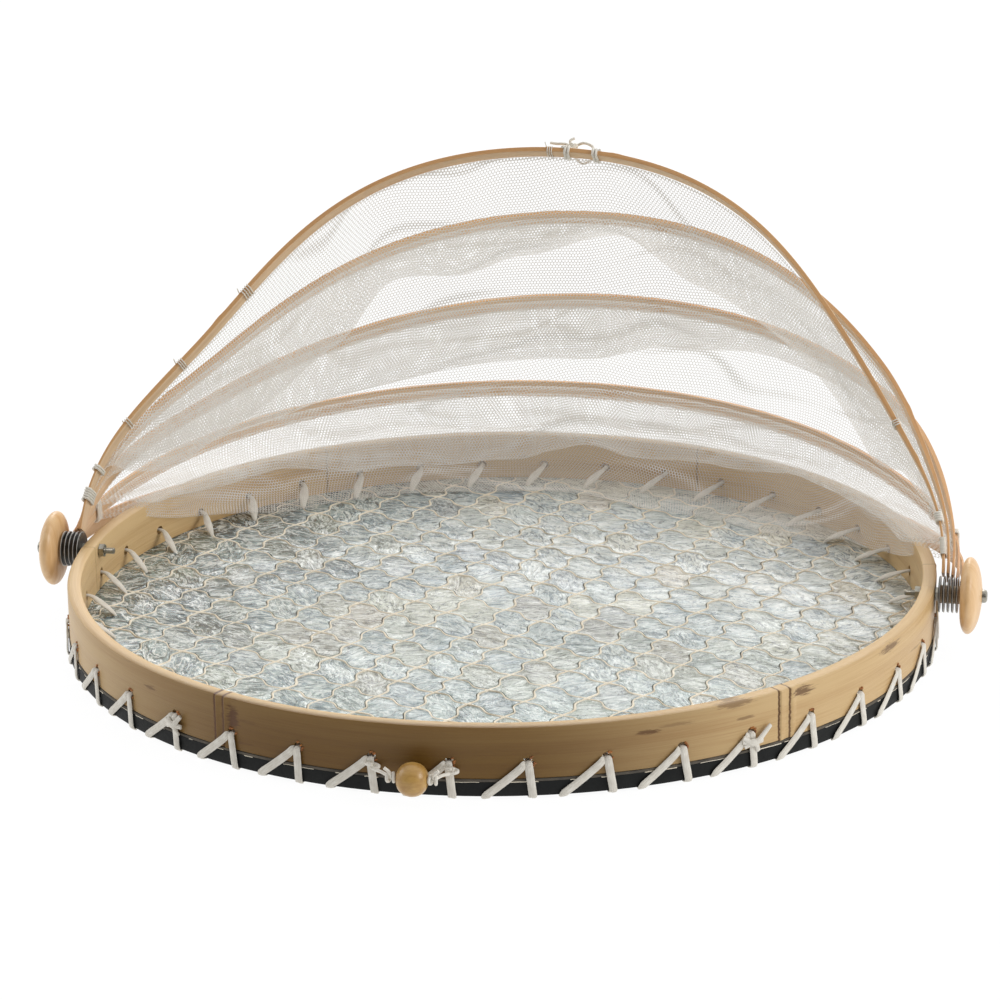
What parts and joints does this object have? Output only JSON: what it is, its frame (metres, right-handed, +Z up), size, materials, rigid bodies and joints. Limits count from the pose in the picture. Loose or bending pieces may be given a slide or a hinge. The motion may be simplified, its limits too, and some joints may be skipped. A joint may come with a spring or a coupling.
{
  "type": "capiz food cover",
  "caption": "Round tray with a shell-inlaid floor, a laced bamboo rim and a folding net cover on half hoops that swing over the food.",
  "frame": {"origin": "centre of the tray's flat foot, on the surface that it stands on", "axes": "+X along the cover's pivot axis, -Y towards the front bead, +Z up"},
  "size_m": [0.4468, 0.4337, 0.2062],
  "materials": {
    "black_board": "dark stained board, worn along its edge",
    "capiz": "pearly capiz shell pieces with cream grout, lacquered",
    "bamboo_rim": "satin bamboo with brown stains",
    "bamboo_hoop": "satin split bamboo",
    "lacing": "white flat woven strip",
    "bead_wood": "waxed turned wood",
    "cord": "white twisted cotton cord",
    "net": "white hexagonal gauze",
    "steel": "plain steel",
    "black_washer": "blackened washer",
    "knob_wood": "waxed pale turned wood"
  },
  "bodies": {
    "tray": {"base_board": "black_board", "capiz_face": "capiz", "rim_hoop": "bamboo_rim", "lacing_1": "lacing", "lacing_2": "lacing", "lacing_3": "lacing", "lacing_4": "lacing", "lacing_5": "lacing", "bead": "bead_wood", "bead_tie": "cord", "pivot_screw_left": "steel", "pivot_screw_right": "steel", "pivot_nut_left": "steel", "pivot_nut_right": "steel", "lock_nut_left": "steel", "lock_nut_right": "steel", "knob_left": "knob_wood", "knob_right": "knob_wood", "washer_left_1": "black_washer", "washer_left_2": "black_washer", "washer_left_3": "black_washer", "washer_left_4": "black_washer", "washer_left_5": "black_washer", "washer_right_1": "black_washer", "washer_right_2": "black_washer", "washer_right_3": "black_washer", "washer_right_4": "black_washer", "washer_right_5": "black_washer"},
    "back_hoop": {"back_hoop": "bamboo_hoop", "net_back_gore": "net"},
    "fourth_hoop": {"fourth_hoop": "bamboo_hoop", "net_third_gore": "net"},
    "third_hoop": {"third_hoop": "bamboo_hoop", "net_second_gore": "net"},
    "second_hoop": {"second_hoop": "bamboo_hoop", "net_front_gore": "net"},
    "front_hoop": {"front_hoop": "bamboo_hoop", "loop_cord": "cord"}
  },
  "joints": [
    {"name": "back_hoop_swing", "type": "hinge", "parent": "tray", "child": "back_hoop", "pos_m": [0, 0, 0.0281], "axis": [1, 0, 0], "range_deg": [0, 4]},
    {"name": "fourth_hoop_swing", "type": "hinge", "parent": "back_hoop", "child": "fourth_hoop", "pos_m": [0, 0, 0.0281], "axis": [1, 0, 0], "range_deg": [0, 31.8], "deforming": ["net_back_gore"]},
    {"name": "third_hoop_swing", "type": "hinge", "parent": "fourth_hoop", "child": "third_hoop", "pos_m": [0, 0, 0.0281], "axis": [1, 0, 0], "range_deg": [0, 28.3], "deforming": ["net_third_gore"]},
    {"name": "second_hoop_swing", "type": "hinge", "parent": "third_hoop", "child": "second_hoop", "pos_m": [0, 0, 0.0281], "axis": [1, 0, 0], "range_deg": [0, 26.5], "deforming": ["net_second_gore"]},
    {"name": "front_hoop_swing", "type": "hinge", "parent": "second_hoop", "child": "front_hoop", "pos_m": [0, 0, 0.0281], "axis": [1, 0, 0], "range_deg": [0, 23.9], "deforming": ["net_front_gore"]}
  ],
  "couplings": [
    {"joint": "third_hoop_swing", "follows": "fourth_hoop_swing", "ratio": 0.889},
    {"joint": "second_hoop_swing", "follows": "fourth_hoop_swing", "ratio": 0.831},
    {"joint": "front_hoop_swing", "follows": "fourth_hoop_swing", "ratio": 0.749}
  ]
}
